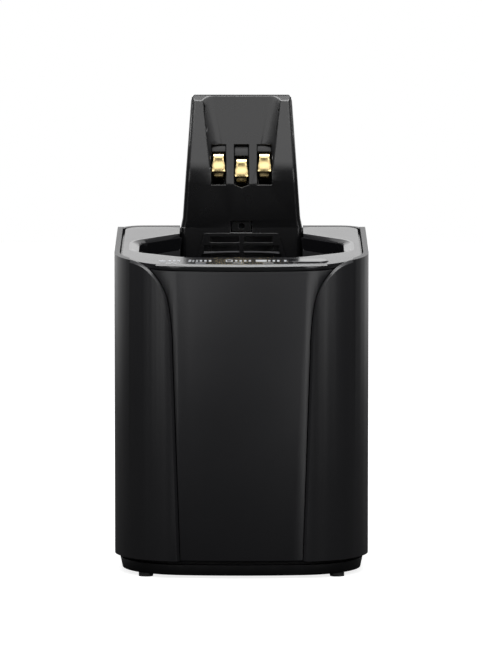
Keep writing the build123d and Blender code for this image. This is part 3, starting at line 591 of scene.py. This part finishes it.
def spring_contact(name, drop):
    """The folded strip at the middle of the dock, lowered by `drop`."""
    foot_y = CONTACT_ROOT - LEG_WIDTH
    start = Vector((0, CONTACT_ROOT - LEG_WIDTH / 2, CONTACT_FOOT)) * MM
    piece = begin("plane", name, size=LEG_WIDTH * MM, location=start)
    at = (foot_y, CONTACT_FOOT)
    pick(piece, "EDGE", lambda middle: middle.y < (foot_y + 0.1) * MM)
    for y, z in FOLD:
        grow((0, y - at[0], z - at[1]))
        at = (y, z)

    def on_face(point):
        in_height = FACE_LOW - 0.05 < point.z / MM < FACE_HIGH + 0.05
        return in_height and point.y / MM < FACE_BACK

    pick(piece, "VERT", on_face)
    stretch((FACE_WIDTH / LEG_WIDTH, 1, 1), (0, 0, 0))
    bpy.ops.mesh.select_all(action="SELECT")
    bpy.ops.transform.translate(value=(0, 0, -drop * MM))
    modify(piece, "SOLIDIFY", thickness=SHEET * MM, offset=0.0)
    rounded(piece, 0.10)
    return piece


left = spring_contact("contact_strip_left", 0)
for vertex in left.data.vertices:
    vertex.co.x -= PITCH * MM
settle(left, "left_contact", gold)
copy_to(left, "contact_strip_right", (2 * PITCH, 0, 0), "right_contact", gold)
centre = spring_contact("contact_strip_centre", CENTRE_DROP)
settle(centre, "centre_contact", gold)
for side in ("left", "centre", "right"):
    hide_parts("contact_" + side)
print("contact faces:", len(left.data.polygons))

# %% [markdown]
# ## The channels above the contacts
# Over each contact the slot is closed by a shallow channel, so that nothing falls behind the strip.
# It is a small tongue of the column's own plastic that runs behind the leaning face and folds back
# at its foot. A cube turned to the lean makes the tongue, and extruding its lower face makes the
# fold.

# %% Three channel tongues
LEAN = math.atan2(14.4, 25.9)
LEAN_START = 147.5
TONGUE_WIDTH = 5.3
TONGUE_SHEET = 0.9
TONGUE_TOP = 158.4
SIDE_LOW, SIDE_DEPTH = 155.0, 2.9
CENTRE_LOW, CENTRE_DEPTH = 153.4, 3.6


def channel_tongue(name, x, low, depth):
    """A tongue from `low` up to the slot's top, set `depth` behind the leaning face."""
    length = (TONGUE_TOP - low) / math.cos(LEAN)
    middle_z = (TONGUE_TOP + low) / 2
    middle_y = (middle_z - LEAN_START) * math.tan(LEAN) + depth + 0.5
    centre = Vector((x, middle_y, middle_z)) * MM
    piece = begin(
        "cube", name, size=MM, location=centre, rotation=(-LEAN, 0, 0),
        scale=(TONGUE_WIDTH, TONGUE_SHEET, length),
    )
    down = Vector((0, -math.sin(LEAN), -math.cos(LEAN)))
    pick(piece, "FACE", lambda middle: (middle - centre).dot(down) > (length / 2 - 0.05) * MM)
    grow((0, 0.5, -0.3))
    grow((0, 1.6, -0.1))
    rounded(piece, 0.25, segments=3)
    settle(piece, "dock", column_black)


channel_tongue("channel_tongue_left", -PITCH, SIDE_LOW, SIDE_DEPTH)
channel_tongue("channel_tongue_centre", 0, CENTRE_LOW, CENTRE_DEPTH)
channel_tongue("channel_tongue_right", PITCH, SIDE_LOW, SIDE_DEPTH)
print("channels ready")

# %% [markdown]
# ## The louvre lips
# Under each slot of the air outlet a thin blade throws the drying air upwards. It is highest at the
# middle rib and catches a line of light; its grey, lighter than the black column, is a painted
# highlight along that line. A small cube grows outwards in four short steps that fall away a little
# more each time, which makes the shallow arch.

# %% Six louvre blades
SLOT_ROW = 3.5
BLADE_LEVEL = 120.25
BLADE_Y = 0.9
BLADE_SECTION = (1.9, 0.55)
BLADE_STEPS = 5
BLADE_FALL = 0.045
RIB_HALF = 0.9
SLOT_HALVES = ((1, 14.4), (2, 15.4), (3, 16.4))

# The blades are much lighter than the column's black: a painted highlight for the line of light on
# them.
louvre_painted_highlight = plastic("louvre_painted_highlight", (0.07, 0.07, 0.075), 0.25, bump=0.04)


def louvre_blade(name, row, half, side):
    """One blade from the rib out to the slot's end."""
    step = (half + 0.2 - RIB_HALF) / BLADE_STEPS
    start = Vector((side * (RIB_HALF + step / 2), BLADE_Y, BLADE_LEVEL - SLOT_ROW * row)) * MM
    piece = begin("cube", name, size=MM, location=start, scale=(step, *BLADE_SECTION))
    reach = RIB_HALF + step
    for number in range(1, BLADE_STEPS):
        pick(piece, "FACE", lambda middle: side * middle.x / MM > reach - 0.01)
        grow((side * step, 0, -BLADE_FALL * number))
        reach += step
    rounded(piece, 0.16)
    settle(piece, "dock", louvre_painted_highlight)


for row, half in SLOT_HALVES:
    for side, label in ((-1, "left"), (1, "right")):
        louvre_blade("louvre_" + label + "_" + str(row + 1), row, half, side)
print("louvre blades ready")

# %% [markdown]
# ## The wall behind the well
# Under the column's foot an upright wall closes the back of the well and keeps splashes off the
# main board. A flat cube makes the wall, and its two ends grow forwards and upwards to meet the
# liner and the rim.

# %% The splash wall
SPLASH_HALF = 23.4
SPLASH_LOW, SPLASH_HIGH = 87.8, 111.9
SPLASH_FRONT = 1.0
SPLASH_SHEET = 1.2
END_GAP = 0.3
END_WIDTH = 3.3
END_RISE = 6.3
END_REACH = 3.6
END_INNER, END_OUTER = 24.0, 26.9

splash_middle = (0, SPLASH_FRONT + SPLASH_SHEET / 2, (SPLASH_LOW + SPLASH_HIGH) / 2)
splash = begin(
    "cube", "splash_wall", size=MM, location=Vector(splash_middle) * MM,
    scale=(2 * SPLASH_HALF, SPLASH_SHEET, SPLASH_HIGH - SPLASH_LOW),
)


def splash_end(side):
    """Grows one end of the wall outwards, then up to the rim and forwards to the liner."""
    def on_end(middle):
        return END_INNER < side * middle.x / MM < END_OUTER

    pick(splash, "FACE", lambda middle: side * middle.x / MM > SPLASH_HALF - 0.1)
    grow((side * END_GAP, 0, 0))
    grow((side * END_WIDTH, 0, 0))
    pick(splash, "FACE", lambda middle: on_end(middle) and middle.z / MM > SPLASH_HIGH - 0.1)
    grow((0, 0, END_RISE))
    pick(splash, "FACE", lambda middle: on_end(middle) and middle.y / MM < SPLASH_FRONT + 0.1)
    grow((0, -END_REACH, 0))


splash_end(-1)
splash_end(1)
rounded(splash, 0.25)
settle(splash, "dock", well_black)
print("splash wall faces:", len(splash.data.polygons))

# %% [markdown]
# ## The bright front lip of the deck
# The deck ends in front in a polished slope that shows as one bright line. A small square section
# loses its upper front corner, and is then extruded step by step along the deck's own curve.

# %% Places on the sloping deck
DECK_Z = 117.8
DECK_FRONT = -75.0
DECK_SLOPE = math.atan(0.0805)
NOSE = -73.7
NOSE_RADIUS = 188.7
LIP_SIZE = 0.85
LIP_PROUD = 0.26
LIP_SUNK = 0.25
LIP_HALF = 32.0
LIP_STEPS = 28


def lip_place(x):
    """The middle of the lip's section at a distance from the middle of the dock."""
    y = NOSE + NOSE_RADIUS - math.sqrt(NOSE_RADIUS ** 2 - x ** 2)
    z = DECK_Z + (y - DECK_FRONT) * math.tan(DECK_SLOPE)
    return Vector((x, y + LIP_SIZE / 2 - LIP_PROUD, z + LIP_SIZE / 2 - LIP_SUNK))


# %% The lip
at = lip_place(-LIP_HALF)
lip = begin(
    "plane", "deck_lip", size=LIP_SIZE * MM, location=at * MM, rotation=(0, math.pi / 2, 0)
)
pick(lip, "VERT", lambda point: point.y / MM < at.y and point.z / MM > at.z)
bpy.ops.transform.translate(value=(0, LIP_SIZE / 2 * MM, -LIP_SIZE / 2 * MM))
bpy.ops.mesh.select_mode(type="FACE")
bpy.ops.mesh.select_all(action="SELECT")
for number in range(1, LIP_STEPS + 1):
    following = lip_place(-LIP_HALF + 2 * LIP_HALF * number / LIP_STEPS)
    grow(following - at)
    at = following
bpy.ops.mesh.select_all(action="SELECT")
bpy.ops.mesh.normals_make_consistent(inside=False)
settle(lip, "dock", deck_gunmetal)
print("lip faces:", len(lip.data.polygons))

# %% [markdown]
# ## Printed symbols on the control strip
# The strip is marked with small white prints. Plain pictograms stand here: a drop for washing,
# waves for drying, a battery for charging and a plus for everything in turn, each beside a row of
# short bars. A print has almost no thickness, so each shape is a flat outline, and Solidify makes
# it a few hundredths of a millimetre thick.

# %% Laying a print on the deck
PRINT_Y = 13.2
INK = 0.06
INK_LIFT = 0.005


def lay_on_deck(piece, x, y):
    """Turns a flat piece made at the origin to the deck's slope and moves it to its place there."""
    cos, sin = math.cos(DECK_SLOPE), math.sin(DECK_SLOPE)
    for vertex in piece.data.vertices:
        px, py, pz = vertex.co.x / MM + x, vertex.co.y / MM + y, vertex.co.z / MM + INK_LIFT
        back, up = py * cos - pz * sin, py * sin + pz * cos
        vertex.co = Vector((px, DECK_FRONT + back, DECK_Z + up)) * MM


def print_on_deck(piece, x, y):
    """Gives a flat print its thickness, lays it on the deck and finishes it."""
    modify(piece, "SOLIDIFY", thickness=INK * MM, offset=1.0)
    lay_on_deck(piece, x, y)
    settle(piece, "dock", print_white)


# %% The pictograms
def print_drop(x):
    """A drop: a disc whose far point is pulled out."""
    piece = begin("circle", "symbol_drop", vertices=24, radius=1.5 * MM, fill_type="NGON")
    pick(piece, "VERT", lambda point: point.y > 1.45 * MM)
    bpy.ops.transform.translate(value=(0, 1.9 * MM, 0))
    pick(piece, "VERT", lambda point: 1.2 * MM < point.y < 1.48 * MM)
    stretch((0.55, 1, 1), (0, 0, 0))
    print_on_deck(piece, x, PRINT_Y - 0.6)


def print_waves(x):
    """Rising air: one wavy band, and its left-hand parts copied twice to its right."""
    apart = 1.4
    piece = begin("plane", "symbol_waves", size=0.7 * MM, location=(-apart * MM, -2.0 * MM, 0))
    pick(piece, "EDGE", lambda middle: middle.y / MM > -1.7)
    for sideways in (0.3, 0.3, -0.3, -0.3, 0.3, 0.3):
        grow((sideways, 0.65, 0))
    for copy in (1, 2):
        pick(piece, "FACE", lambda middle: middle.x / MM < -1.0)
        bpy.ops.mesh.duplicate_move(TRANSFORM_OT_translate={"value": (apart * copy * MM, 0, 0)})
    print_on_deck(piece, x, PRINT_Y)


def print_battery(x):
    """A cell: a block with an inset window and a nub."""
    piece = begin("plane", "symbol_battery", size=MM)
    bpy.ops.mesh.select_all(action="SELECT")
    stretch((2.6, 4.2, 1), (0, 0, 0))
    bpy.ops.mesh.inset(thickness=0.5 * MM)
    bpy.ops.mesh.delete(type="FACE")
    pick(piece, "EDGE", lambda middle: middle.y > 2.0 * MM)
    bpy.ops.mesh.subdivide(number_cuts=2)
    pick(piece, "EDGE", lambda middle: middle.y > 2.0 * MM and abs(middle.x) < 0.3 * MM)
    grow((0, 0.6, 0))
    print_on_deck(piece, x, PRINT_Y)


def print_plus(x):
    """A plus: a square that grows an arm from each edge."""
    piece = begin("plane", "symbol_plus", size=1.1 * MM)
    for dx, dy in ((1, 0), (-1, 0), (0, 1), (0, -1)):
        pick(piece, "EDGE", lambda middle: (middle.x * dx + middle.y * dy) / MM > 0.5)
        grow((1.5 * dx, 1.5 * dy, 0))
    print_on_deck(piece, x, PRINT_Y)


def print_bars(name, x, count):
    """A row of short bars beside a pictogram, as a level scale."""
    piece = begin("plane", name, size=MM)
    bpy.ops.mesh.select_all(action="SELECT")
    stretch((0.9, 3.4, 1), (0, 0, 0))
    for copy in range(1, count):
        pick(piece, "FACE", lambda middle: abs(middle.x) < 0.1 * MM)
        bpy.ops.mesh.duplicate_move(TRANSFORM_OT_translate={"value": (1.7 * copy * MM, 0, 0)})
    modify(piece, "BEVEL", affect="VERTICES", width=0.2 * MM, segments=3)
    print_on_deck(piece, x, PRINT_Y)


print_drop(-29.6)
print_bars("level_wash", -26.9, 3)
print_waves(-18.2)
print_bars("level_dry", -15.2, 3)
print_battery(-4.6)
print_bars("level_charge", -2.0, 4)
print_plus(7.4)
print_bars("level_full", 10.4, 3)
print_bars("select_tick", 16.4, 1)
print("symbols printed")

# %% [markdown]
# ## Marks on the tank
# A clear tank carries moulded lines that show how far to fill it. Each is a low bar with rounded
# edges. The top and the bottom bar are long, and the three between them are short. Both sides of
# the tank have them, so that the hand that carries it never hides them all.

# %% Fill lines
TANK_FOOT, TANK_HEAD = (26.0, 16.2), (22.0, 124.0)
TANK_MIDDLE_Y = 46
MARK_CROWN = 0.15
MARK_PROUD = 0.05
MARKS = ((118, 14), (108, 7), (98, 7), (88, 7), (50, 14))


def tank_half(z):
    """Half the tank's width at a height below its shoulder."""
    part = (z - TANK_FOOT[1]) / (TANK_HEAD[1] - TANK_FOOT[1])
    return TANK_FOOT[0] + (TANK_HEAD[0] - TANK_FOOT[0]) * part


def fill_line(name, side, z, length):
    """A raised bar on the tank's side wall."""
    x = tank_half(z) + MARK_PROUD
    place = Vector((side * x, TANK_MIDDLE_Y, z)) * MM
    piece = begin("cube", name, size=MM, location=place, scale=(0.5, length, 0.9))
    pick(piece, "FACE", lambda middle: abs(middle.x / MM) > x + 0.2)
    bpy.ops.mesh.inset(thickness=MARK_CROWN * MM)
    grow((side * MARK_CROWN, 0, 0))
    rounded(piece, 0.12)
    settle(piece, "water_tank", print_white)


for side, label in ((-1, "left"), (1, "right")):
    for number, (z, length) in enumerate(MARKS, start=1):
        fill_line("fill_line_" + label + "_" + str(number), side, z, length)
print("fill lines ready")

# %% [markdown]
# ## Soft edges
# No moulded edge is a knife edge: the small radius catches a line of light. The imported meshes are
# loose triangles, so a Weld joins them, a planar Decimate takes out the flat seams, and a Bevel
# rounds what is left. The modifiers stay live, so the imported nodes' own meshes stay as they are.


# %% Round the edges of imported nodes
WELD = 0.002
FLAT = math.radians(0.4)


def soften(width, *names, segments=2, angle=35, clamp=True):
    """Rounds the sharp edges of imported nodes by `width` millimetres."""
    for name in names:
        weld = nodes[name].modifiers.new("weld", "WELD")
        weld.merge_threshold = WELD * MM
        flat = nodes[name].modifiers.new("flat_faces", "DECIMATE")
        flat.decimate_type = "DISSOLVE"
        flat.angle_limit = FLAT
        rounding = nodes[name].modifiers.new("rounded_edges", "BEVEL")
        rounding.width = width * MM
        rounding.segments = segments
        rounding.limit_method = "ANGLE"
        rounding.angle_limit = math.radians(angle)
        rounding.harden_normals = True
        rounding.use_clamp_overlap = clamp


soften(0.8, "deck")
soften(0.8, "outer_shell", segments=3)
soften(0.4, "column_front", segments=3, angle=14, clamp=False)
soften(0.35, "front_panel", "select_button", "tank_lid", "tank_platform", "base_plate")
soften(0.15, "opening_bezel", "water_spout", "air_outlet_grille")
print("edges rounded")
